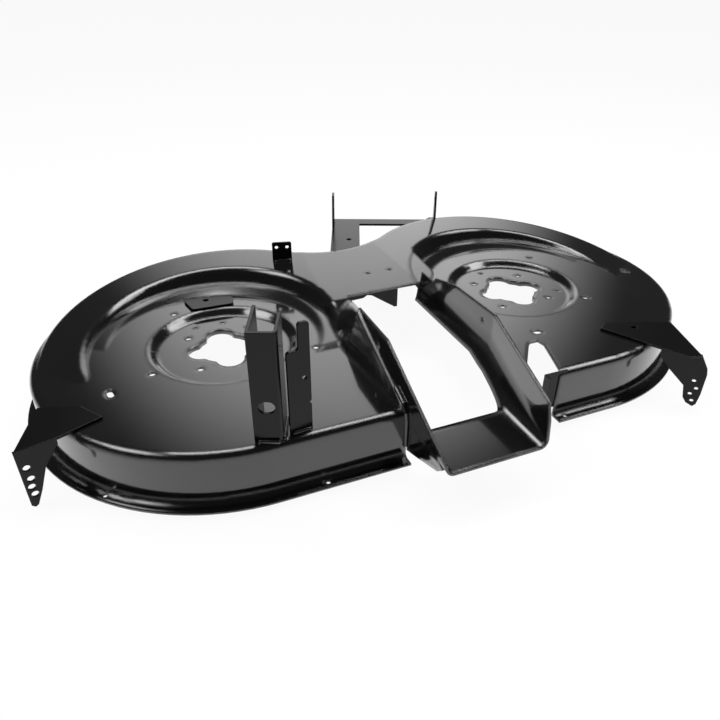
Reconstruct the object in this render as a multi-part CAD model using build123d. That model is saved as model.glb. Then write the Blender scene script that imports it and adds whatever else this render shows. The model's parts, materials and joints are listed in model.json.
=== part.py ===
"""Twin-chamber lawn mower deck: a pressed shell with the tunnel, brackets and plates welded to it."""
import math
import os

from build123d import *

# Driving sizes, in mm; Z is up, X runs along the spindle line, Y points to the front, pan top is Z = 0
SHEET = 3.0
PLATE = 4.0
SPINDLE_SPACING = 505.0
SKIRT_DEPTH = 76.0
CHAMBER_WALL_R = 266.0
LIP_WIDTH = 17.5
LIP_COVE = 6.0
EDGE_ROUND = 9.0

# Chamber walls: their arc centres lie a little outside and ahead of the spindles
SPINDLE_X = SPINDLE_SPACING / 2
CHAMBER_SHIFT_X = 3.0
CHAMBER_X = SPINDLE_X + CHAMBER_SHIFT_X
CHAMBER_Y = 7.4
NOTCH_BOTTOM_Y = 186.0
REAR_WALL_Y = CHAMBER_Y - CHAMBER_WALL_R

# Working sizes: BIG and TALL reach past everything, OVERLAP past a cut, EMBED and SINK into a joint;
# a flat face whose normal rises more than ROOF_TILT is a roof, more than FLANK_TILT a leaning flank
BIG = 1000.0
TALL = 100.0
OVERLAP = 1.0
EMBED = 0.3
SINK = 2.5
FLANK_TILT = 0.2
ROOF_TILT = 0.9

# Raised rim: a tilted roof that starts at pan height on the outer side and climbs to the neck
RIM_SETBACK = EDGE_ROUND + 0.6
RIM_WALL_R = CHAMBER_WALL_R - RIM_SETBACK
RIM_ROUND = 7.0
RIM_ROOT = 20.0
RIM_FRONT_RISE = 34.0
RIM_DIAGONAL_RISE = 18.0
NECK_REAR_Z = 25.5
NECK_SLOPE = 0.081
STRIP_END_Y = -80.0
STRIP_END_SLOPE = 0.26
BOWL_SHIFT_X = 15.5
BOWL_X = SPINDLE_X + BOWL_SHIFT_X
BOWL_Y = 2.0
RIM_WIDTH = 88.0
BOWL_FOOT_R = CHAMBER_WALL_R - RIM_WIDTH
BOWL_LEAN = 0.53
BOWL_ROUND = 9.0
BOWL_ROOT_Z = -15.0
LEDGE_WIDTH = 24.0
LEDGE_INNER_R = BOWL_FOOT_R - LEDGE_WIDTH
LEDGE_LEAN = 3.0
LEDGE_ROOT = 48.0
LEDGE_OUTER_R = BOWL_FOOT_R + LEDGE_ROOT
LEDGE_SHARE = 0.33
LEDGE_DROP = 2.5

# Sunken spindle seats with a four-lobed hole and a bolt circle
SEAT_R = 108.8
SEAT_DEPTH = 10.0
SEAT_RUN = 10.8
SEAT_FLOOR_R = SEAT_R - SEAT_RUN
SEAT_TOP_ROUND = 5.0
SEAT_FLOOR_ROUND = 3.0
BOLT_CIRCLE_R = 65.0
BOLT_COUNT = 4
BOLT_HOLE_R = 4.5
LOBE_COUNT = 4
LOBE_CORE_R = 40.0
LOBE_R = 20.0
LOBE_OFFSET = 35.0
LOBE_BLEND = 8.0
COLLAR_DROP = 5.0

# Holes of the pan, placed from the spindle on their side; slots add their length, width and turn
M8_HOLE_R = 4.5
SMALL_HOLE_R = 3.0
LEFT_HOLES = [(-55.1, 113.1), (-111.8, -48.8), (120.8, -66.2)]
RIGHT_HOLES = [(98.9, 86.4), (90.0, -86.4)]
LEFT_SMALL_HOLES = [(-29.6, 73.2), (13.2, 74.8)]
RIGHT_SMALL_HOLES = [(-12.0, 79.1), (75.6, -30.5)]
NECK_HOLES = [(14.0, 79.0), (54.0, 79.0)]
LEFT_SLOTS = [(-169.5, -76.0, 17.0, 8.0, 100.0)]
RIGHT_SLOTS = [(-54.5, -152.0, 14.0, 10.0, 0.0), (222.5, -28.0, 14.0, 12.0, 90.0)]

# Holes of the lip: two along the rear, placed from their spindle, and one round the left corner
LEFT_LIP_HOLE = 63.5
RIGHT_LIP_HOLE = -75.5
CORNER_LIP_HOLE_ANGLE = 224.5

# Tunnel between the chambers, off centre to the right, and the tongue of the neck over it
TUNNEL_LEFT_X = -76.0
TUNNEL_RIGHT_X = 92.5
TUNNEL_REAR_RIGHT_X = 69.5
TUNNEL_FRONT_Y = 37.0
TUNNEL_LEFT_FRONT_Y = -94.5
TUNNEL_TAPER_Y = -185.0
TUNNEL_REAR_Y = -361.5
TUNNEL_FLOOR_Z = -26.0
TUNNEL_TOP_Z = 68.0
TUNNEL_FRONT_BEND = 64.0
TUNNEL_REAR_BEND = 12.0
TUNNEL_FLOOR_FRONT_Y = -283.0
OPENING_LEFT_X = -46.0
OPENING_FRONT_Y = 61.0
TONGUE_RIGHT_X = 126.0
TONGUE_ROOT_X = 60.0
TONGUE_REAR_Y = 22.0
TONGUE_FRONT_Y = 150.0
TONGUE_ROUND = 40.0
UNDERPASS_Z = 18.0

# Side views of the tunnel walls as (Y, Z): upper edges from front to rear, lower edges from rear to front
TUNNEL_FOOT_Z = TUNNEL_FLOOR_Z - OVERLAP
TUNNEL_REAR_FOOT = [(TUNNEL_REAR_Y, TUNNEL_FOOT_Z), (TUNNEL_FLOOR_FRONT_Y, TUNNEL_FOOT_Z)]
TUNNEL_LEFT_EDGE = [(TUNNEL_LEFT_FRONT_Y, TUNNEL_TOP_Z), (-190.5, TUNNEL_TOP_Z), (-358.5, -10)]
TUNNEL_LEFT_LOW_EDGE = [(-262, -24), (-250, -SHEET), (TUNNEL_LEFT_FRONT_Y, -SHEET)]
TUNNEL_LEFT_WEB = [(-352, -22), (-340, -33), (-287, -53), (-260, -62), (-260, 0), (-300, 10)]
TUNNEL_RIGHT_EDGE = [
    (30, 40), (-7, 40), (-17, 49.5), (-78, 65.5), (-188, 70), (-348, 36), (-356.5, 11.5),
]
TUNNEL_RIGHT_LOW_EDGE = [(-275.5, -22.5), (-202.5, -9), (-157, -SHEET), (18, -SHEET), (30, 13)]
TUNNEL_LEFT_HOLES = [(-134, 46), (-161, 45)]
TUNNEL_RIGHT_HOLES = [(-159, 48)]

# Flank of the pressing against the tunnel's left wall: it climbs from the neck to the wall's front corner
# and dies out at the rear edge; sections are drawn on the right as (foot X, top X, top Z)
FLANK_FRONT_Y = 8.0
FLANK_REAR_Y = REAR_WALL_Y + EDGE_ROUND
FLANK_FRONT = (97.0, -OPENING_LEFT_X, 26.0)
FLANK_MIDDLE = (97.0, -TUNNEL_LEFT_X, TUNNEL_TOP_Z)
FLANK_REAR = (82.0, -TUNNEL_LEFT_X, 6.0)
FLANK_DEPTH = 40.0

# Pocket cut in the pan beside the tunnel: its front end, where it meets the tunnel, and the cut skirt
POCKET_FRONT = [(163.0, -180.0), (170.0, -174.0), (183.0, -174.0), (185.0, -186.0)]
POCKET_REAR_Y = -228.0
POCKET_LEFT_X = 126.0
SKIRT_END_X = 161.0

# The brackets are square to the machine, which stands turned against the spindle line
MACHINE_TURN = -22.5

# Left lift bracket: a channel, placed from its rear left corner
CHANNEL_SHIFT_X = 19.5
CHANNEL_SETBACK = 16.6
CHANNEL_CORNER = (-SPINDLE_X - CHANNEL_SHIFT_X, REAR_WALL_Y + CHANNEL_SETBACK)
CHANNEL_HEIGHT = 150.0
CHANNEL_WIDTH = 35.0
CHANNEL_LEFT_DEPTH = 64.0
CHANNEL_RIGHT_DEPTH = 48.0
CHANNEL_BEND = 7.0
CHANNEL_HOLE_Z = 49.5
CHANNEL_HOLE_LENGTH = 20.0
CHANNEL_HOLE_WIDTH = 17.0

# Slotted plate beside the channel: a post with a deep notch and a small nick in its right edge
POST_SHIFT_X = 24.5
POST_SETBACK = 17.6
POST_START = (-SPINDLE_X + POST_SHIFT_X, REAR_WALL_Y + POST_SETBACK)
POST_HEADING = 5.0
POST_HEIGHT = CHANNEL_HEIGHT
POST_WIDTH = 29.0
POST_NOTCH_X = 15.0
POST_NOTCH_Z = 115.0
POST_NICK = 3.0
POST_NICK_Z = 39.0
POST_HOLE = (21.0, 76.0)

# Pad plate on the left ledge, drawn from the left spindle
PAD_OUTLINE = [(-34.5, 150.0), (-25.5, 110.0), (40.5, 108.0), (45.5, 138.0)]
PAD_HOLE = (0.5, 134.0)
PAD_CORNER_R = 6.0

# Small angle with two holes on the left of the neck
TAB_START = (-123.0, NOTCH_BOTTOM_Y - 9.0)
TAB_HEADING = -14.0
TAB_LENGTH = 33.0
TAB_BOTTOM = 25.0
TAB_TOP = 69.0
TAB_FOOT = 12.0
TAB_HOLE_SPACING = 18.0
TAB_HOLE_DROP = 9.0

# Front hanger: a flat frame ahead of the neck with an ear at each end, placed from its front left corner
HANGER_LEFT_X = 50.0
HANGER_LEAD = 153.0
HANGER_CORNER = (HANGER_LEFT_X, NOTCH_BOTTOM_Y + HANGER_LEAD)
HANGER_TOP = 30.0
HANGER_WIDTH = 206.0
HANGER_ARM = 53.0
HANGER_BAR = 26.0
HANGER_REACH = 180.0
HANGER_HOLE = (33.0, -106.0)
HANGER_END_STEP = 12.0
HANGER_END_LENGTH = 12.0
HANGER_END_SLANT = 8.0
EAR_TOP_SHARE = 0.4
EAR_HOLE_DROP = 13.0
LEFT_EAR_SETBACK = 6.0
LEFT_EAR_WIDTH = 48.0
LEFT_EAR_TOP = 91.0
RIGHT_EAR_WIDTH = 18.0
RIGHT_EAR_TOP = 86.0

# Rib across the tunnel under the neck: lower edge as (X, Z) from right to left
STIFFENER_Y = 34.0
STIFFENER_LEFT_X = OPENING_LEFT_X + SHEET
STIFFENER_RIGHT_X = 47.0
STIFFENER_LOW_EDGE = [
    (STIFFENER_RIGHT_X, -15), (42, -15), (0, 14), (-8, 16), (-15, 12), (STIFFENER_LEFT_X, 11),
]

# Wheel brackets: plans drawn from a point of the chamber wall, outer then inner end of the fold last
WHEEL_PLATE = 3.5
FLANGE_FOOT = SKIRT_DEPTH + 8.0
LEFT_WHEEL_ANGLE = 211.0
LEFT_WHEEL_PLAN = [(-26.5, 51.6), (23.5, 36.6), (48.5, 1.6), (-5.5, -20.4), (-53.5, -32.4)]
LEFT_WHEEL_HOLES = [(9, -24), (10, -41), (8, -53), (9, -65)]
RIGHT_WHEEL_ANGLE = -69.0
RIGHT_WHEEL_PLAN = [
    (-58.8, 56.9), (-43.8, 67.9), (-9.8, 57.9), (56.2, 30.9), (24.2, -63.1), (6.2, -59.1), (-21.8, -9.1),
]
RIGHT_WHEEL_PAN_HOLE = (-8.8, 39.9)
RIGHT_WHEEL_HOLES = [(0, -41), (-6, -53), (0, -64), (-5, -75)]

# Flange outlines of the wheel brackets: along the fold from its outer end, and up
LEFT_FLANGE = [
    (0, WHEEL_PLATE), (49, WHEEL_PLATE), (49, -6), (29, -32), (18, -62),
    (9, 2 - FLANGE_FOOT), (5, -FLANGE_FOOT), (1, 4 - FLANGE_FOOT),
]
RIGHT_FLANGE = [
    (54, WHEEL_PLATE), (0, WHEEL_PLATE), (-12, -17), (-14, -26), (-14, -61), (-12, 5 - FLANGE_FOOT),
    (-8, -FLANGE_FOOT), (2, 4 - FLANGE_FOOT), (8, -72), (12, -52), (37, -30), (54, -12),
]

# Right lift bracket: a small angle in the pocket, continuing the line of the rear skirt
ANGLE_LEFT_X = SKIRT_END_X - 24.0
ANGLE_RIGHT_X = SKIRT_END_X + 14.0
ANGLE_FRONT_Y = REAR_WALL_Y + 4.6
ANGLE_REAR_Y = REAR_WALL_Y - 9.4
ANGLE_DROP = 60.0


def outline(wall_r):
    """Plan outline of the shell: two arcs, a straight rear and a notch arc at the front."""
    rear_y = CHAMBER_Y - wall_r
    reach = NOTCH_BOTTOM_Y - CHAMBER_Y
    notch_r = (reach**2 + CHAMBER_X**2 - CHAMBER_WALL_R**2) / (2 * (CHAMBER_WALL_R - reach))
    notch_y = NOTCH_BOTTOM_Y + notch_r
    inset_notch_r = notch_r + CHAMBER_WALL_R - wall_r
    along = Vector(-CHAMBER_X, notch_y - CHAMBER_Y).normalized()
    joint = Vector(CHAMBER_X, CHAMBER_Y) + along * wall_r
    outer_x = CHAMBER_X + wall_r
    right = ThreePointArc((CHAMBER_X, rear_y), (outer_x, CHAMBER_Y), (joint.X, joint.Y))
    notch = ThreePointArc((joint.X, joint.Y), (0, notch_y - inset_notch_r), (-joint.X, joint.Y))
    left = ThreePointArc((-joint.X, joint.Y), (-outer_x, CHAMBER_Y), (-CHAMBER_X, rear_y))
    rear = Line((-CHAMBER_X, rear_y), (CHAMBER_X, rear_y))
    return make_face([right, notch, left, rear])


def polygon(*points):
    return make_face(Polyline(*points, close=True))


def around_chamber(side, angle, radius):
    """Plan point at an angle and radius about the left (side -1) or right (side 1) chamber centre."""
    turn = math.radians(angle)
    return side * CHAMBER_X + radius * math.cos(turn), CHAMBER_Y + radius * math.sin(turn)


def moved(points, start):
    return [(start[0] + x, start[1] + y) for x, y in points]


def from_spindle(side, points):
    """Plan points given from the left (side -1) or right (side 1) spindle."""
    return moved(points, (side * SPINDLE_X, 0))


def column(face, bottom, top):
    return extrude(Pos(0, 0, bottom) * face, top - bottom)


def below(body, plane):
    return split(body, bisect_by=plane, keep=Keep.BOTTOM)


def right_half(body):
    return body & Box(BIG, 2 * BIG, BIG, align=(Align.MIN, Align.CENTER, Align.CENTER))


def largest(shape):
    return max(shape.solids(), key=lambda solid: solid.volume)


def roof_slopes():
    """Outward and forward slope of the right-hand rim roof, and its height at the chamber centre."""
    diagonal = math.sqrt(0.5)
    slope_out = (RIM_DIAGONAL_RISE - diagonal * RIM_FRONT_RISE) / (2 * diagonal - 1) / RIM_WALL_R
    slope_front = slope_out + RIM_FRONT_RISE / RIM_WALL_R
    return slope_out, slope_front, -slope_out * RIM_WALL_R


def sloped_plane(point, slope_x, slope_y, drop):
    """Plane through a point with slopes along X and Y, lowered by drop along its normal."""
    normal = Vector(-slope_x, -slope_y, 1).normalized()
    return Plane(origin=Vector(*point) - normal * drop, z_dir=normal)


def roof_plane(share, drop):
    """Plane at a share of the right-hand roof's height."""
    slope_out, slope_front, height = roof_slopes()
    centre = (CHAMBER_X, CHAMBER_Y, share * height)
    return sloped_plane(centre, share * slope_out, share * slope_front, drop)


def neck_plane(drop):
    return sloped_plane((0, TONGUE_REAR_Y, NECK_REAR_Z), 0, NECK_SLOPE, drop)


def strip_end_plane(drop):
    return sloped_plane((0, STRIP_END_Y, 0), 0, STRIP_END_SLOPE, drop)


def rounded_top(body, radius):
    top = max(body.faces(), key=lambda face: face.normal_at().Z)
    return fillet(top.edges(), radius)


def base_block(inset):
    """Right half of pan and skirt as a filled block, drawn in by inset all round."""
    block = column(outline(CHAMBER_WALL_R - inset), -SKIRT_DEPTH - inset, -inset)
    return right_half(rounded_top(block, EDGE_ROUND - inset))


def rim_block(inset):
    """Everything under the rim roof and the neck plane, right half."""
    tall = column(outline(RIM_WALL_R - inset), -RIM_ROOT, TALL)
    halves = []
    for cap in (roof_plane(1.0, inset), neck_plane(inset)):
        halves.append(right_half(rounded_top(below(tall, cap), RIM_ROUND - inset)))
    return below(halves[0] & halves[1], strip_end_plane(inset))


def bowl(inset):
    """Right-hand bowl to cut away: a cone about the bowl centre with straight flanks to the rear."""
    wider = inset * math.hypot(1, BOWL_LEAN)
    low, high = -RIM_ROOT - OVERLAP, TALL
    low_r = BOWL_FOOT_R + BOWL_LEAN * low + wider
    high_r = BOWL_FOOT_R + BOWL_LEAN * high + wider
    cone = Pos(BOWL_X, BOWL_Y, (low + high) / 2) * Cone(low_r, high_r, high - low)
    flank = polygon((-low_r, low), (low_r, low), (high_r, high), (-high_r, high))
    trough = extrude(Pos(BOWL_X, BOWL_Y, 0) * Plane.XZ * flank, BIG)
    return cone + trough


def ledge(inset):
    """Low step round the foot of the right-hand bowl, fading out on the outer side."""
    disc = Pos(BOWL_X, BOWL_Y, 0) * Cylinder(LEDGE_OUTER_R, 2 * RIM_ROOT)
    low_disc = below(below(disc, roof_plane(LEDGE_SHARE, LEDGE_DROP + inset)), strip_end_plane(inset))
    low, high = -RIM_ROOT - OVERLAP, RIM_ROOT
    wider = inset * math.hypot(1, LEDGE_LEAN)
    low_r = LEDGE_INNER_R + LEDGE_LEAN * low + wider
    high_r = LEDGE_INNER_R + LEDGE_LEAN * high + wider
    return low_disc - Pos(BOWL_X, BOWL_Y, (low + high) / 2) * Cone(low_r, high_r, high - low)


def seat_pocket(inset):
    middle = Pos(SPINDLE_X, 0, -inset - SEAT_DEPTH / 2)
    return middle * Cone(SEAT_FLOOR_R + inset, SEAT_R + inset, SEAT_DEPTH)


def is_bowl_wall(face):
    """True for the leaning faces that the bowl leaves: its cone and its straight flanks."""
    flank = face.geom_type == GeomType.PLANE and FLANK_TILT < abs(face.normal_at().Z) < ROOF_TILT
    return flank or face.geom_type == GeomType.CONE


def bowl_edges(body):
    """Upper edges of the bowl, where it cuts the roof, the neck and the strip end."""
    roofs = [face for face in body.faces().filter_by(GeomType.PLANE) if face.normal_at().Z > ROOF_TILT]
    wall_edges = [edge for face in body.faces() if is_bowl_wall(face) for edge in face.edges()]
    return [
        edge for face in roofs for edge in face.edges()
        if edge.center().Z > BOWL_ROOT_Z and any(edge.is_same(other) for other in wall_edges)
    ]


def flank_section(y, section, inset):
    """Section of the flank as a filled face, square to Y."""
    foot_x, top_x, top_z = section
    root_x = top_x - FLANK_DEPTH
    face = polygon((foot_x, 0), (top_x, top_z), (root_x, top_z), (root_x, -RIM_ROOT), (foot_x, -RIM_ROOT))
    if inset:
        face = offset(face, -inset, kind=Kind.INTERSECTION)
    return Plane(origin=(0, y, 0), x_dir=(1, 0, 0), z_dir=(0, -1, 0)) * face


def flank(inset):
    """Slope that rises from the pan to the top of the tunnel's wall, drawn on the right."""
    rear = flank_section(FLANK_REAR_Y + inset, FLANK_REAR, inset)
    middle = flank_section(TUNNEL_LEFT_FRONT_Y, FLANK_MIDDLE, inset)
    front = flank_section(FLANK_FRONT_Y - inset, FLANK_FRONT, inset)
    return loft([rear, middle], ruled=True) + loft([middle, front], ruled=True)


def raised_rim(inset, flanked):
    """Rim and neck round the bowl; the bowl's upper edge is rounded over, but not under the tongue."""
    body = largest(rim_block(inset) - bowl(inset))
    if flanked:
        return fillet(bowl_edges(body), BOWL_ROUND - inset)
    beside_tongue = Plane.YZ.offset(TONGUE_RIGHT_X + SHEET)
    rest = split(body, bisect_by=beside_tongue, keep=Keep.TOP)
    return below(body, beside_tongue) + fillet(bowl_edges(rest), BOWL_ROUND - inset)


def circles(body, radius):
    edges = body.edges().filter_by(GeomType.CIRCLE)
    return [edge for edge in edges if abs(edge.radius - radius) < EMBED]


def form(inset, flanked):
    """Right half of the pressing as a filled form; the sheet is the form less its own inset."""
    body = base_block(inset) + raised_rim(inset, flanked) + right_half(ledge(inset))
    if flanked:
        body = body + flank(inset)
    body = body - seat_pocket(inset)
    body = fillet(circles(body, SEAT_R + inset), SEAT_TOP_ROUND - inset)
    return fillet(circles(body, SEAT_FLOOR_R + inset), SEAT_FLOOR_ROUND + inset)


def lip():
    """Flat lip turned out at the foot of the skirt with a small cove above it, right half."""
    lip_z = -SKIRT_DEPTH + SHEET
    flange = column(outline(CHAMBER_WALL_R + LIP_WIDTH), -SKIRT_DEPTH, lip_z)
    block = flange + column(outline(CHAMBER_WALL_R), -SKIRT_DEPTH, lip_z + 2 * LIP_COVE)
    top = block.faces().filter_by_position(Axis.Z, lip_z - EMBED, lip_z + EMBED)[0]
    block = fillet(top.inner_wires()[0].edges(), LIP_COVE)
    return right_half(block)


def spindle_lobes(grow):
    """Lobed outline of the spindle hole, grown outward by grow."""
    face = Circle(LOBE_CORE_R + grow)
    for lobe in range(LOBE_COUNT):
        face = face + Rot(0, 0, 360 / LOBE_COUNT * lobe) * Pos(LOBE_OFFSET, 0) * Circle(LOBE_R + grow)
    return Pos(SPINDLE_X, 0) * fillet(face.vertices(), LOBE_BLEND - grow)


def through(x, y, radius):
    return Pos(x, y, 0) * Cylinder(radius, 2 * TALL)


def bolt_circle():
    """Right-hand spindle bolt holes, set between the lobes."""
    holes = []
    for bolt in range(BOLT_COUNT):
        angle = math.radians(360 / BOLT_COUNT * (bolt + 0.5))
        holes.append((BOLT_CIRCLE_R * math.cos(angle), BOLT_CIRCLE_R * math.sin(angle)))
    return from_spindle(1, holes)


def half_shell(flanked):
    """Right half of the shell; the flanked one is turned over to make the left half."""
    collar = column(spindle_lobes(SHEET), -SEAT_DEPTH - SHEET - COLLAR_DROP, -SEAT_DEPTH - EMBED)
    sheet = form(0, flanked) + lip() - form(SHEET, flanked) + collar
    sheet = sheet - column(spindle_lobes(0), -TALL, TALL)
    for x, y in bolt_circle():
        sheet = sheet - through(x, y, BOLT_HOLE_R)
    return sheet


def tunnel_right_x(y):
    """Outer face of the tunnel's right wall, which tapers in to the rear."""
    share = max(0.0, (TUNNEL_TAPER_Y - y) / (TUNNEL_TAPER_Y - TUNNEL_REAR_Y))
    return TUNNEL_RIGHT_X + share * (TUNNEL_REAR_RIGHT_X - TUNNEL_RIGHT_X)


def tongue_face():
    """Plan of the neck's rear end, with its right rear corner rounded."""
    face = polygon(
        (OPENING_LEFT_X, TONGUE_REAR_Y), (TONGUE_RIGHT_X, TONGUE_REAR_Y),
        (TONGUE_RIGHT_X, TONGUE_FRONT_Y), (OPENING_LEFT_X, TONGUE_FRONT_Y),
    )
    rear_corner = face.vertices().sort_by_distance((TONGUE_RIGHT_X, TONGUE_REAR_Y, 0))[:1]
    return fillet(rear_corner, TONGUE_ROUND)


def opening_face():
    """Plan of the tunnel opening with the pocket beside it, open to the rear."""
    return polygon(
        (OPENING_LEFT_X, OPENING_FRONT_Y), (TUNNEL_RIGHT_X, OPENING_FRONT_Y),
        (TUNNEL_RIGHT_X, TUNNEL_TAPER_Y), (tunnel_right_x(POCKET_REAR_Y), POCKET_REAR_Y),
        (POCKET_LEFT_X, POCKET_REAR_Y), *POCKET_FRONT, (SKIRT_END_X, REAR_WALL_Y), (SKIRT_END_X, -BIG),
        (TUNNEL_LEFT_X, -BIG), (TUNNEL_LEFT_X, TUNNEL_LEFT_FRONT_Y), (OPENING_LEFT_X, FLANK_FRONT_Y),
    )


def under_roofs(face, drop):
    return below(below(column(face, 0, TALL), roof_plane(1.0, drop)), neck_plane(drop))


def tongue_sheet():
    """Part of the tongue that overhangs the right-hand bowl."""
    beyond_root = Pos(TONGUE_ROOT_X, 0) * Rectangle(BIG, BIG, align=(Align.MIN, Align.CENTER))
    overhang = tongue_face() & beyond_root
    return under_roofs(overhang, EMBED) - under_roofs(overhang, SHEET - EMBED)


def lip_holes():
    rear_y = REAR_WALL_Y - LIP_WIDTH / 2
    corner = around_chamber(-1, CORNER_LIP_HOLE_ANGLE, CHAMBER_WALL_R + LIP_WIDTH / 2)
    return [(-SPINDLE_X + LEFT_LIP_HOLE, rear_y), (SPINDLE_X + RIGHT_LIP_HOLE, rear_y), corner]


def shell_holes():
    """Cutters for all round holes and slots of the shell outside the spindle seats."""
    wide = from_spindle(-1, LEFT_HOLES) + from_spindle(1, RIGHT_HOLES)
    small = from_spindle(-1, LEFT_SMALL_HOLES) + from_spindle(1, RIGHT_SMALL_HOLES)
    small = small + NECK_HOLES + lip_holes()
    cutters = [through(x, y, M8_HOLE_R) for x, y in wide]
    cutters += [through(x, y, SMALL_HOLE_R) for x, y in small]
    for side, slots in ((-1, LEFT_SLOTS), (1, RIGHT_SLOTS)):
        for x, y, length, width, turn in slots:
            face = Pos(side * SPINDLE_X + x, y) * Rot(0, 0, turn) * SlotOverall(length, width)
            cutters.append(column(face, -TALL, TALL))
    return cutters


def deck_shell():
    shell = half_shell(flanked=False) + mirror(half_shell(flanked=True), Plane.YZ)
    shell = shell - column(opening_face(), -TALL, UNDERPASS_Z)
    shell = shell - column(opening_face() - tongue_face(), UNDERPASS_Z - OVERLAP, TALL)
    shell = shell + tongue_sheet()
    for cutter in shell_holes():
        shell = shell - cutter
    return largest(shell)


def tunnel_section(y, bend, inset):
    """U-shaped section of the tunnel as a filled face, square to Y."""
    left, right = TUNNEL_LEFT_X + inset, tunnel_right_x(y) - inset
    floor = TUNNEL_FLOOR_Z + inset
    face = polygon((left, TALL), (left, floor), (right, floor), (right, TALL))
    face = fillet(face.vertices().sort_by_distance((right, floor, 0))[:1], bend - inset)
    face = fillet(face.vertices().sort_by_distance((left, floor, 0))[:1], TUNNEL_REAR_BEND - inset)
    return Plane(origin=(0, y, 0), x_dir=(1, 0, 0), z_dir=(0, -1, 0)) * face


def tunnel_block(inset):
    """Tunnel as a filled block: straight at the front, tapering in behind."""
    front = tunnel_section(TUNNEL_TAPER_Y, TUNNEL_FRONT_BEND, inset)
    rear = tunnel_section(TUNNEL_REAR_Y, TUNNEL_REAR_BEND, inset)
    straight = extrude(front, TUNNEL_TAPER_Y - TUNNEL_FRONT_Y)
    return loft([rear, front], ruled=True) + straight


def discharge_tunnel():
    """One folded band: a floor and two walls, each cut to its side view, with a web below the left one."""
    band = tunnel_block(0) - tunnel_block(SHEET)
    floor_start = Plane.YZ.offset(TUNNEL_LEFT_X + TUNNEL_REAR_BEND)
    left_view = polygon(*TUNNEL_LEFT_EDGE, *TUNNEL_REAR_FOOT, *TUNNEL_LEFT_LOW_EDGE)
    right_view = polygon(*TUNNEL_RIGHT_EDGE, *TUNNEL_REAR_FOOT, *TUNNEL_RIGHT_LOW_EDGE)
    left_wall = band & extrude(floor_start * left_view, -BIG)
    right_wall = band & extrude(floor_start * right_view, BIG)
    web = extrude(Plane.YZ.offset(TUNNEL_LEFT_X) * polygon(*TUNNEL_LEFT_WEB), SHEET)
    tunnel = left_wall + right_wall + web
    for wall_x, holes in ((TUNNEL_LEFT_X, TUNNEL_LEFT_HOLES), (TUNNEL_RIGHT_X, TUNNEL_RIGHT_HOLES)):
        for y, z in holes:
            tunnel = tunnel - Pos(wall_x, y, z) * Rot(0, 90, 0) * Cylinder(SMALL_HOLE_R, 4 * SHEET)
    return tunnel


def upright(start, heading, face, thickness):
    """Plate standing on edge: face is drawn along the heading and up, thickness goes to its right."""
    along = Vector(math.cos(math.radians(heading)), math.sin(math.radians(heading)), 0)
    plane = Plane(origin=(*start, 0), x_dir=along, z_dir=Vector(along.Y, -along.X, 0))
    return extrude(plane * face, thickness)


def drilled(face, holes, radius):
    for x, y in holes:
        face = face - Pos(x, y) * Circle(radius)
    return face


def heading_of(start, end):
    return math.degrees(math.atan2(end[1] - start[1], end[0] - start[0]))


def left_lift_bracket():
    """Channel standing at the rear edge of the left pan, open to the front."""
    section = polygon(
        (0, 0), (CHANNEL_WIDTH, 0), (CHANNEL_WIDTH, CHANNEL_RIGHT_DEPTH),
        (CHANNEL_WIDTH - PLATE, CHANNEL_RIGHT_DEPTH), (CHANNEL_WIDTH - PLATE, PLATE),
        (PLATE, PLATE), (PLATE, CHANNEL_LEFT_DEPTH), (0, CHANNEL_LEFT_DEPTH),
    )
    outer_bend = section.vertices().sort_by_distance((CHANNEL_WIDTH, 0, 0))[:1]
    section = fillet(outer_bend, CHANNEL_BEND)
    inner_bend = section.vertices().sort_by_distance((CHANNEL_WIDTH - PLATE, PLATE, 0))[:1]
    section = fillet(inner_bend, CHANNEL_BEND - PLATE)
    channel = column(section, -SINK, CHANNEL_HEIGHT)
    slot = SlotOverall(CHANNEL_HOLE_LENGTH, CHANNEL_HOLE_WIDTH)
    hole = Plane.XZ * Pos(CHANNEL_WIDTH / 2, CHANNEL_HOLE_Z) * slot
    channel = channel - extrude(hole, 3 * PLATE, both=True)
    return Pos(*CHANNEL_CORNER, 0) * Rot(0, 0, MACHINE_TURN) * channel


def slotted_plate():
    """Post beside the channel with a deep notch in its upper corner."""
    face = polygon(
        (0, -SINK), (POST_WIDTH, -SINK), (POST_WIDTH, POST_NICK_Z - POST_NICK),
        (POST_WIDTH - POST_NICK, POST_NICK_Z), (POST_WIDTH, POST_NICK_Z + POST_NICK),
        (POST_WIDTH, POST_HEIGHT), (POST_NOTCH_X, POST_HEIGHT),
        (POST_NOTCH_X, POST_NOTCH_Z), (0, POST_NOTCH_Z),
    )
    face = fillet(face.vertices().sort_by(Axis.Y)[-4:], PLATE)
    return upright(POST_START, POST_HEADING, drilled(face, [POST_HOLE], SMALL_HOLE_R), PLATE)


def pad_plate():
    face = fillet(polygon(*PAD_OUTLINE).vertices(), PAD_CORNER_R)
    return Pos(-SPINDLE_X, 0, 0) * column(drilled(face, [PAD_HOLE], M8_HOLE_R), 0, PLATE)


def two_hole_tab():
    """Small angle on the left of the neck: a foot on the roof and an upright with two holes."""
    face = polygon((0, TAB_BOTTOM), (TAB_LENGTH, TAB_BOTTOM), (TAB_LENGTH, TAB_TOP), (0, TAB_TOP))
    face = fillet(face.vertices().sort_by(Axis.Y)[-2:], SHEET)
    holes = [((TAB_LENGTH + side * TAB_HOLE_SPACING) / 2, TAB_TOP - TAB_HOLE_DROP) for side in (-1, 1)]
    wall = upright(TAB_START, TAB_HEADING, drilled(face, holes, SMALL_HOLE_R), SHEET)
    foot_face = Rectangle(TAB_LENGTH, TAB_FOOT, align=(Align.MIN, Align.MIN))
    foot = column(Pos(*TAB_START) * Rot(0, 0, TAB_HEADING) * foot_face, TAB_BOTTOM, TALL)
    return wall + mirror(below(mirror(foot, Plane.YZ), roof_plane(1.0, -SHEET)), Plane.YZ)


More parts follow.
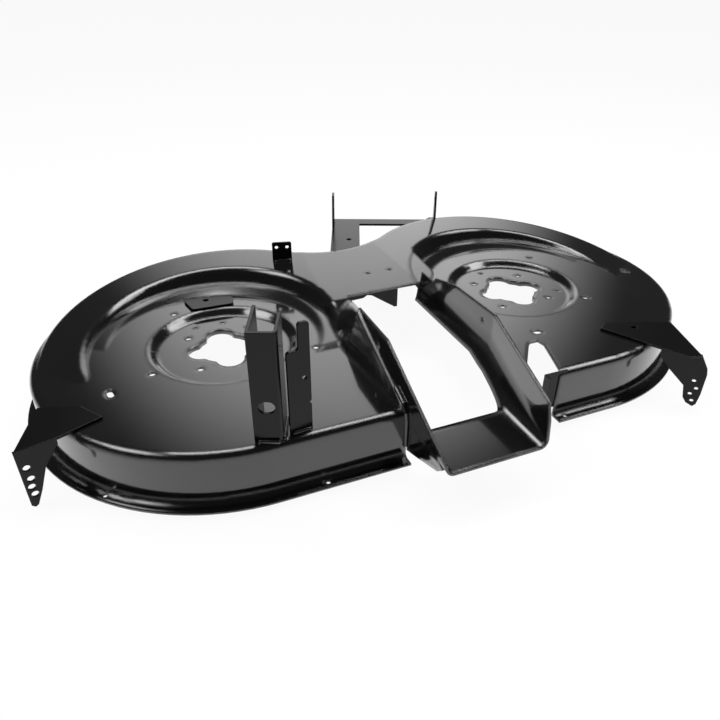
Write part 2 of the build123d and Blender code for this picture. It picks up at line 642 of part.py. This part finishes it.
def hanger_ear(front, width, top):
    """Ear of the hanger, drawn rearward from its front edge and up."""
    foot_z = HANGER_TOP - PLATE
    middle = front + width / 2
    half_top = EAR_TOP_SHARE * width / 2
    face = polygon(
        (front, foot_z), (front + width, foot_z), (middle + half_top, top), (middle - half_top, top),
    )
    return drilled(face, [(middle, top - EAR_HOLE_DROP)], SMALL_HOLE_R)


def front_hanger():
    """Folded frame ahead of the neck, open on the right, with an ear turned up at each end."""
    end_x = HANGER_WIDTH - HANGER_END_LENGTH
    frame = polygon(
        (0, 0), (end_x - HANGER_END_SLANT, 0), (end_x, HANGER_END_STEP), (HANGER_WIDTH, HANGER_END_STEP),
        (HANGER_WIDTH, -HANGER_BAR), (HANGER_ARM, -HANGER_BAR),
        (HANGER_ARM, -HANGER_REACH), (0, -HANGER_REACH),
    )
    left_ear = hanger_ear(LEFT_EAR_SETBACK, LEFT_EAR_WIDTH, LEFT_EAR_TOP)
    right_ear = hanger_ear(-HANGER_END_STEP, RIGHT_EAR_WIDTH, RIGHT_EAR_TOP)
    hanger = column(drilled(frame, [HANGER_HOLE], M8_HOLE_R), HANGER_TOP - PLATE, HANGER_TOP)
    hanger = hanger + upright((PLATE, 0), -90, left_ear, PLATE)
    hanger = hanger + upright((HANGER_WIDTH, 0), -90, right_ear, PLATE)
    return Pos(*HANGER_CORNER, 0) * Rot(0, 0, MACHINE_TURN) * hanger


def neck_stiffener():
    """Rib standing across the tunnel under the neck."""
    face = polygon((STIFFENER_LEFT_X, TALL), (STIFFENER_RIGHT_X, TALL), *STIFFENER_LOW_EDGE)
    return below(upright((0, STIFFENER_Y), 0, face, PLATE), neck_plane(SHEET))


def left_wheel_bracket():
    """Plate on the left rear corner of the pan with a flange folded down outside the skirt."""
    plan = moved(LEFT_WHEEL_PLAN, around_chamber(-1, LEFT_WHEEL_ANGLE, CHAMBER_WALL_R))
    inner, outer = plan[-2:]
    flange = drilled(polygon(*LEFT_FLANGE), LEFT_WHEEL_HOLES, M8_HOLE_R)
    top = column(polygon(*plan), 0, WHEEL_PLATE)
    return top + upright(outer, heading_of(outer, inner), flange, -WHEEL_PLATE)


def right_wheel_bracket():
    """Plate on the right rear corner of the pan with a flange folded down outside the skirt."""
    start = around_chamber(1, RIGHT_WHEEL_ANGLE, CHAMBER_WALL_R)
    plan = moved(RIGHT_WHEEL_PLAN, start)
    outer, inner = plan[-3], plan[-1]
    flange = drilled(polygon(*RIGHT_FLANGE), RIGHT_WHEEL_HOLES, SMALL_HOLE_R)
    top = column(drilled(polygon(*plan), moved([RIGHT_WHEEL_PAN_HOLE], start), M8_HOLE_R), 0, WHEEL_PLATE)
    return top + upright(outer, heading_of(outer, inner), flange, WHEEL_PLATE)


def right_lift_bracket():
    """Small angle in the pocket: one leg on the inside of the skirt, one turned back beside the tunnel."""
    legs = polygon(
        (ANGLE_LEFT_X, ANGLE_REAR_Y), (ANGLE_LEFT_X + SHEET, ANGLE_REAR_Y),
        (ANGLE_LEFT_X + SHEET, ANGLE_FRONT_Y - SHEET), (ANGLE_RIGHT_X, ANGLE_FRONT_Y - SHEET),
        (ANGLE_RIGHT_X, ANGLE_FRONT_Y), (ANGLE_LEFT_X, ANGLE_FRONT_Y),
    )
    return column(legs, -ANGLE_DROP, 0)


def seated(piece, *supports):
    """Piece trimmed to lie against what it is welded to."""
    for support in supports:
        piece = piece - support
    return largest(piece)


def build():
    shell = deck_shell()
    tunnel = seated(discharge_tunnel(), shell)
    pieces = {"deck_shell": shell, "discharge_tunnel": tunnel}
    for maker in (
        left_lift_bracket, slotted_plate, pad_plate, two_hole_tab, front_hanger, neck_stiffener,
        left_wheel_bracket, right_wheel_bracket, right_lift_bracket,
    ):
        pieces[maker.__name__] = seated(maker(), shell, tunnel)
    return pieces


def centred(pieces):
    """Moves all pieces so that the origin is under the middle of the deck, on the floor."""
    box = Compound(list(pieces.values())).bounding_box()
    shift = Pos(-box.center().X, -box.center().Y, -box.min.Z)
    return {name: shift * piece for name, piece in pieces.items()}


os.makedirs("parts", exist_ok=True)
for name, piece in centred(build()).items():
    export_step(piece, f"parts/{name}.step")
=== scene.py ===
"""Looks of the lawn mower deck: gloss black paint, weld beads, studio floor, lights and camera."""
import json
import math

import bmesh
import bpy
from mathutils import Matrix, Vector


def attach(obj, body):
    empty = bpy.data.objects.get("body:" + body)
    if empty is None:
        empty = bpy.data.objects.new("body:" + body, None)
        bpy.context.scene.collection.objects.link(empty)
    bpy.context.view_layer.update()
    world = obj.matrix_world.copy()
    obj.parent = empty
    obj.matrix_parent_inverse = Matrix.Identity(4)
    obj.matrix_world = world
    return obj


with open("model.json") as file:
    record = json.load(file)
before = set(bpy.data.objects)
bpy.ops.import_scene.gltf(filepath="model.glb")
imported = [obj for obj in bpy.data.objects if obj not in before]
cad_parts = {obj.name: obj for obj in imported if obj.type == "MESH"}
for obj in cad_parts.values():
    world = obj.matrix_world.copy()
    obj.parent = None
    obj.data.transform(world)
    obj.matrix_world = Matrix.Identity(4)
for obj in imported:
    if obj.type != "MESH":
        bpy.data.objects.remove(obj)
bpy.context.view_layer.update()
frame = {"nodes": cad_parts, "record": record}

# Origin of the deck's own frame, in mm: midway between the spindles, on top of the pan
DECK_ORIGIN = Vector((0.0, 11.185, 84.0))
MM = 0.001

# Camera, in the part's frame: place in m, angles in degrees, focal length for a square picture
CAMERA_PLACE = (-0.39779, -0.84184, 0.59297)
CAMERA_AZIMUTH = 23.168
CAMERA_PITCH = 32.667
CAMERA_ROLL = -0.579
CAMERA_NEAR = 0.01
SENSOR_MM = 36.0
LENS_MM = 33.03

# Paint: black, a little cloudy in its gloss, with a fine orange peel; the edges are rounding radii in m
SHELL_BLACK = (0.0055, 0.0055, 0.006, 1.0)
BRACKET_BLACK = (0.0045, 0.0045, 0.005, 1.0)
SHELL_ROUGHNESS = 0.14
BRACKET_ROUGHNESS = 0.2
ROUGHNESS_SPREAD = 0.05
SHELL_SPECULAR = 0.5
BRACKET_SPECULAR = 0.25
SHELL_COAT = 1.0
BRACKET_COAT = 0.0
COAT_ROUGHNESS = 0.06
CLOUD_SCALE = 14.0
CLOUD_DETAIL = 4.0
PEEL_SCALE = 420.0
PEEL_STRENGTH = 0.05
PEEL_DEPTH = 0.0002
SHELL_EDGE = 0.008
BRACKET_EDGE = 0.0015
EDGE_SAMPLES = 6

# The three paints as (colour, roughness, specular, coat, edge)
PAINT_LOOKS = {
    "shell_paint": (SHELL_BLACK, SHELL_ROUGHNESS, SHELL_SPECULAR, SHELL_COAT, SHELL_EDGE),
    "bracket_paint": (BRACKET_BLACK, BRACKET_ROUGHNESS, BRACKET_SPECULAR, BRACKET_COAT, BRACKET_EDGE),
    "weld_paint": (SHELL_BLACK, SHELL_ROUGHNESS, SHELL_SPECULAR, SHELL_COAT, BRACKET_EDGE),
}

# Weld beads, in mm: radius, ripples, the blunt share of the radius at each tip, and the steps of the mesh
WELD_RADIUS = 3.2
WELD_RIPPLE = 3.2
WELD_RIPPLE_DEPTH = 0.28
WELD_TIP = 0.05
WELD_STEP = 0.6
WELD_SIDES = 10

# Nearly upright direction that no weld line runs along
WELD_UP = Vector((0.31, 0.17, 0.93))

# Weld lines in the deck's own frame, in mm
WELD_LINES = {
    "weld_channel_right": [(-238.5, -253.5, 1.0), (-221.0, -211.0, 1.0)],
    "weld_channel_rear": [(-269.0, -245.0, 1.0), (-243.0, -256.0, 1.0)],
    "weld_post": [(-226.5, -246.2, 1.0), (-200.0, -243.9, 1.0)],
    "weld_tunnel_pan": [
        (-78.0, -222.0, 17.0), (-78.0, -249.6, 6.5), (-78.0, -257.0, -3.0), (-78.0, -259.5, -14.0),
        (-78.0, -259.8, -57.0),
    ],
    "weld_tab": [(-122.0, 172.4, 35.6), (-93.0, 165.2, 36.7)],
}

# Floor: side length in m, colour and roughness, and the share of plain white that it shows
FLOOR_SIZE = 40.0
FLOOR_COLOUR = (0.85, 0.85, 0.85, 1.0)
FLOOR_ROUGHNESS = 0.9
FLOOR_GLOW = 0.94

# Dim room with one soft window: its direction, full core, outer fade, all in degrees, and its brightness
WHITE = (1.0, 1.0, 1.0, 1.0)
ROOM_LEVEL = 0.04
WINDOW_AZIMUTH = 21.0
WINDOW_ELEVATION = 24.0
WINDOW_CORE = 8.0
WINDOW_FADE = 24.0
WINDOW_LEVEL = 1.6

# Soft boxes as (azimuth, elevation, width, depth, power), in degrees, m and W, at one distance in m
BOX_DISTANCE = 2.6
SOFT_BOXES = {
    "overhead": (25.0, 74.0, 2.2, 0.9, 55.0),
    "left": (-80.0, 52.0, 1.3, 0.9, 26.0),
    "right": (97.0, 50.0, 1.3, 0.9, 26.0),
}


def node_tree(owner):
    owner.use_nodes = True
    return owner.node_tree.nodes, owner.node_tree.links


def maximum(nodes, links, one, other):
    """Output that is the larger of two outputs."""
    node = nodes.new("ShaderNodeMath")
    node.operation = "MAXIMUM"
    links.new(one, node.inputs[0])
    links.new(other, node.inputs[1])
    return node.outputs["Value"]


def cloudy_gloss(nodes, links, place, shader, roughness):
    """Lets the paint's roughness drift in soft patches."""
    cloud = nodes.new("ShaderNodeTexNoise")
    cloud.inputs["Scale"].default_value = CLOUD_SCALE
    cloud.inputs["Detail"].default_value = CLOUD_DETAIL
    gloss = nodes.new("ShaderNodeMapRange")
    gloss.inputs["To Min"].default_value = roughness - ROUGHNESS_SPREAD
    gloss.inputs["To Max"].default_value = roughness + ROUGHNESS_SPREAD
    links.new(place.outputs["Object"], cloud.inputs["Vector"])
    links.new(cloud.outputs["Fac"], gloss.inputs["Value"])
    links.new(gloss.outputs["Result"], shader.inputs["Roughness"])


def peeled_edges(nodes, links, place, shader, edge):
    """Rounds the sheet's edges and lays a fine orange peel over them."""
    peel = nodes.new("ShaderNodeTexNoise")
    peel.inputs["Scale"].default_value = PEEL_SCALE
    rounding = nodes.new("ShaderNodeBevel")
    rounding.samples = EDGE_SAMPLES
    rounding.inputs["Radius"].default_value = edge
    bump = nodes.new("ShaderNodeBump")
    bump.inputs["Strength"].default_value = PEEL_STRENGTH
    bump.inputs["Distance"].default_value = PEEL_DEPTH
    links.new(place.outputs["Object"], peel.inputs["Vector"])
    links.new(peel.outputs["Fac"], bump.inputs["Height"])
    links.new(rounding.outputs["Normal"], bump.inputs["Normal"])
    links.new(bump.outputs["Normal"], shader.inputs["Normal"])
    links.new(bump.outputs["Normal"], shader.inputs["Coat Normal"])


def paint_material(name, colour, roughness, specular, coat, edge):
    """Sprayed paint over slightly rounded sheet edges."""
    material = bpy.data.materials.new(name)
    nodes, links = node_tree(material)
    shader = nodes["Principled BSDF"]
    shader.inputs["Base Color"].default_value = colour
    shader.inputs["Specular IOR Level"].default_value = specular
    shader.inputs["Coat Weight"].default_value = coat
    shader.inputs["Coat Roughness"].default_value = COAT_ROUGHNESS
    place = nodes.new("ShaderNodeTexCoord")
    cloudy_gloss(nodes, links, place, shader, roughness)
    peeled_edges(nodes, links, place, shader, edge)
    return material


def paint_nodes(paints):
    """Gives every solid of the deck its paint."""
    for subpart in frame["record"]["subparts"]:
        mesh = frame["nodes"][subpart["node"]].data
        mesh.materials.clear()
        mesh.materials.append(paints[subpart["material_slot"]])


def along(line, step):
    """Points at even steps along a line of corners, each with the distance run."""
    corners = [Vector(corner) for corner in line]
    points = []
    run = 0.0
    for start, end in zip(corners, corners[1:]):
        length = (end - start).length
        count = max(2, round(length / step))
        for index in range(count):
            points.append((start.lerp(end, index / count), run + length * index / count))
        run += length
    points.append((corners[-1], run))
    return points


def weld_radius(run, total):
    """Radius of a bead at a distance along it: rippled, and closing at both tips."""
    closing = min(1.0, math.sqrt(min(run, total - run) / WELD_RADIUS) + WELD_TIP)
    ripple = WELD_RIPPLE_DEPTH * abs(math.sin(math.pi * run / WELD_RIPPLE))
    return closing * (WELD_RADIUS - ripple)


def weld_ring(bead, point, heading, radius):
    """Ring of vertices round a point of the weld line, square to its heading."""
    side = heading.cross(WELD_UP).normalized()
    rise = side.cross(heading)
    ring = []
    for corner in range(WELD_SIDES):
        angle = 2 * math.pi * corner / WELD_SIDES
        offset = side * math.cos(angle) * radius + rise * math.sin(angle) * radius
        ring.append(bead.verts.new((point + offset + DECK_ORIGIN) * MM))
    return ring


def weld_rings(bead, line):
    points = along(line, WELD_STEP)
    total = points[-1][1]
    rings = []
    for index, (point, run) in enumerate(points):
        before = points[max(index - 1, 0)][0]
        after = points[min(index + 1, len(points) - 1)][0]
        heading = (after - before).normalized()
        rings.append(weld_ring(bead, point, heading, weld_radius(run, total)))
    return rings


def weld_mesh(name, line):
    """Rippled bead of weld metal along a line, closed at both ends."""
    bead = bmesh.new()
    rings = weld_rings(bead, line)
    for ring, other in zip(rings, rings[1:]):
        for corner in range(WELD_SIDES):
            following = (corner + 1) % WELD_SIDES
            bead.faces.new((ring[corner], ring[following], other[following], other[corner]))
    bead.faces.new(list(reversed(rings[0])))
    bead.faces.new(rings[-1])
    bmesh.ops.recalc_face_normals(bead, faces=bead.faces)
    mesh = bpy.data.meshes.new(name)
    bead.to_mesh(mesh)
    bead.free()
    mesh.shade_smooth()
    return mesh


def weld_bead(name, line, paint):
    mesh = weld_mesh(name, line)
    mesh.materials.append(paint)
    piece = bpy.data.objects.new(name, mesh)
    bpy.context.scene.collection.objects.link(piece)
    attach(piece, "root")


def floor_material():
    """Pale floor that reads white to the eye and in reflections, and keeps a faint shadow."""
    material = bpy.data.materials.new("floor")
    nodes, links = node_tree(material)
    matt = nodes["Principled BSDF"]
    matt.inputs["Base Color"].default_value = FLOOR_COLOUR
    matt.inputs["Roughness"].default_value = FLOOR_ROUGHNESS
    matt.inputs["Specular IOR Level"].default_value = 0.0
    glow = nodes.new("ShaderNodeEmission")
    path = nodes.new("ShaderNodeLightPath").outputs
    seen = maximum(nodes, links, path["Is Camera Ray"], path["Is Glossy Ray"])
    seen = maximum(nodes, links, seen, path["Is Transmission Ray"])
    share = nodes.new("ShaderNodeMath")
    share.operation = "MULTIPLY"
    share.inputs[1].default_value = FLOOR_GLOW
    mix = nodes.new("ShaderNodeMixShader")
    links.new(seen, share.inputs[0])
    links.new(share.outputs["Value"], mix.inputs["Fac"])
    links.new(matt.outputs["BSDF"], mix.inputs[1])
    links.new(glow.outputs["Emission"], mix.inputs[2])
    links.new(mix.outputs["Shader"], nodes["Material Output"].inputs["Surface"])
    return material


def studio_floor():
    mesh = bpy.data.meshes.new("floor")
    half = FLOOR_SIZE / 2
    corners = [(-half, -half, 0), (half, -half, 0), (half, half, 0), (-half, half, 0)]
    mesh.from_pydata(corners, [], [(0, 1, 2, 3)])
    mesh.materials.append(floor_material())
    floor = bpy.data.objects.new("floor", mesh)
    bpy.context.scene.collection.objects.link(floor)


def direction(azimuth, elevation):
    """Unit vector; azimuth runs from +Y towards +X."""
    turn = math.radians(azimuth)
    lift = math.radians(elevation)
    return Vector((math.sin(turn) * math.cos(lift), math.cos(turn) * math.cos(lift), math.sin(lift)))


def room_brightness(nodes, links):
    """Brightness of the room by direction: dim, with a window that fades out softly."""
    place = nodes.new("ShaderNodeTexCoord")
    facing = nodes.new("ShaderNodeVectorMath")
    facing.operation = "DOT_PRODUCT"
    facing.inputs[1].default_value = direction(WINDOW_AZIMUTH, WINDOW_ELEVATION)
    window = nodes.new("ShaderNodeMapRange")
    window.interpolation_type = "SMOOTHSTEP"
    window.inputs["From Min"].default_value = math.cos(math.radians(WINDOW_FADE))
    window.inputs["From Max"].default_value = math.cos(math.radians(WINDOW_CORE))
    window.inputs["To Max"].default_value = WINDOW_LEVEL
    total = nodes.new("ShaderNodeMath")
    total.operation = "ADD"
    total.inputs[1].default_value = ROOM_LEVEL
    links.new(place.outputs["Generated"], facing.inputs[0])
    links.new(facing.outputs["Value"], window.inputs["Value"])
    links.new(window.outputs["Result"], total.inputs[0])
    return total.outputs["Value"]


def studio_world():
    """Dim room that lights the deck; the backdrop behind it is plain white."""
    world = bpy.data.worlds.new("studio")
    bpy.context.scene.world = world
    nodes, links = node_tree(world)
    room = nodes["Background"]
    room.inputs["Color"].default_value = WHITE
    links.new(room_brightness(nodes, links), room.inputs["Strength"])
    backdrop = nodes.new("ShaderNodeBackground")
    backdrop.inputs["Color"].default_value = WHITE
    path = nodes.new("ShaderNodeLightPath").outputs
    mix = nodes.new("ShaderNodeMixShader")
    links.new(maximum(nodes, links, path["Is Camera Ray"], path["Is Transmission Ray"]), mix.inputs["Fac"])
    links.new(room.outputs["Background"], mix.inputs[1])
    links.new(backdrop.outputs["Background"], mix.inputs[2])
    links.new(mix.outputs["Shader"], nodes["World Output"].inputs["Surface"])


def soft_box(name, azimuth, elevation, width, depth, power):
    """Rectangular soft box aimed at the deck."""
    data = bpy.data.lights.new(name, "AREA")
    data.shape = "RECTANGLE"
    data.size = width
    data.size_y = depth
    data.energy = power
    light = bpy.data.objects.new(name, data)
    light.location = direction(azimuth, elevation) * BOX_DISTANCE
    light.rotation_euler = (-light.location).to_track_quat("-Z", "Y").to_euler()
    bpy.context.scene.collection.objects.link(light)


def studio_camera():
    data = bpy.data.cameras.new("camera")
    data.sensor_width = SENSOR_MM
    data.lens = LENS_MM
    data.clip_start = CAMERA_NEAR
    camera = bpy.data.objects.new("camera", data)
    turn = Matrix.Rotation(-math.radians(CAMERA_AZIMUTH), 4, "Z")
    tip = Matrix.Rotation(math.radians(90 - CAMERA_PITCH), 4, "X")
    roll = Matrix.Rotation(-math.radians(CAMERA_ROLL), 4, "Z")
    camera.matrix_world = Matrix.Translation(CAMERA_PLACE) @ turn @ tip @ roll
    bpy.context.scene.collection.objects.link(camera)
    bpy.context.scene.camera = camera


bpy.context.scene.view_settings.view_transform = "Standard"
PAINTS = {name: paint_material(name, *look) for name, look in PAINT_LOOKS.items()}
paint_nodes(PAINTS)
for weld, weld_line in WELD_LINES.items():
    weld_bead(weld, weld_line, PAINTS["weld_paint"])
studio_floor()
studio_world()
for box_name, box in SOFT_BOXES.items():
    soft_box(box_name, *box)
studio_camera()
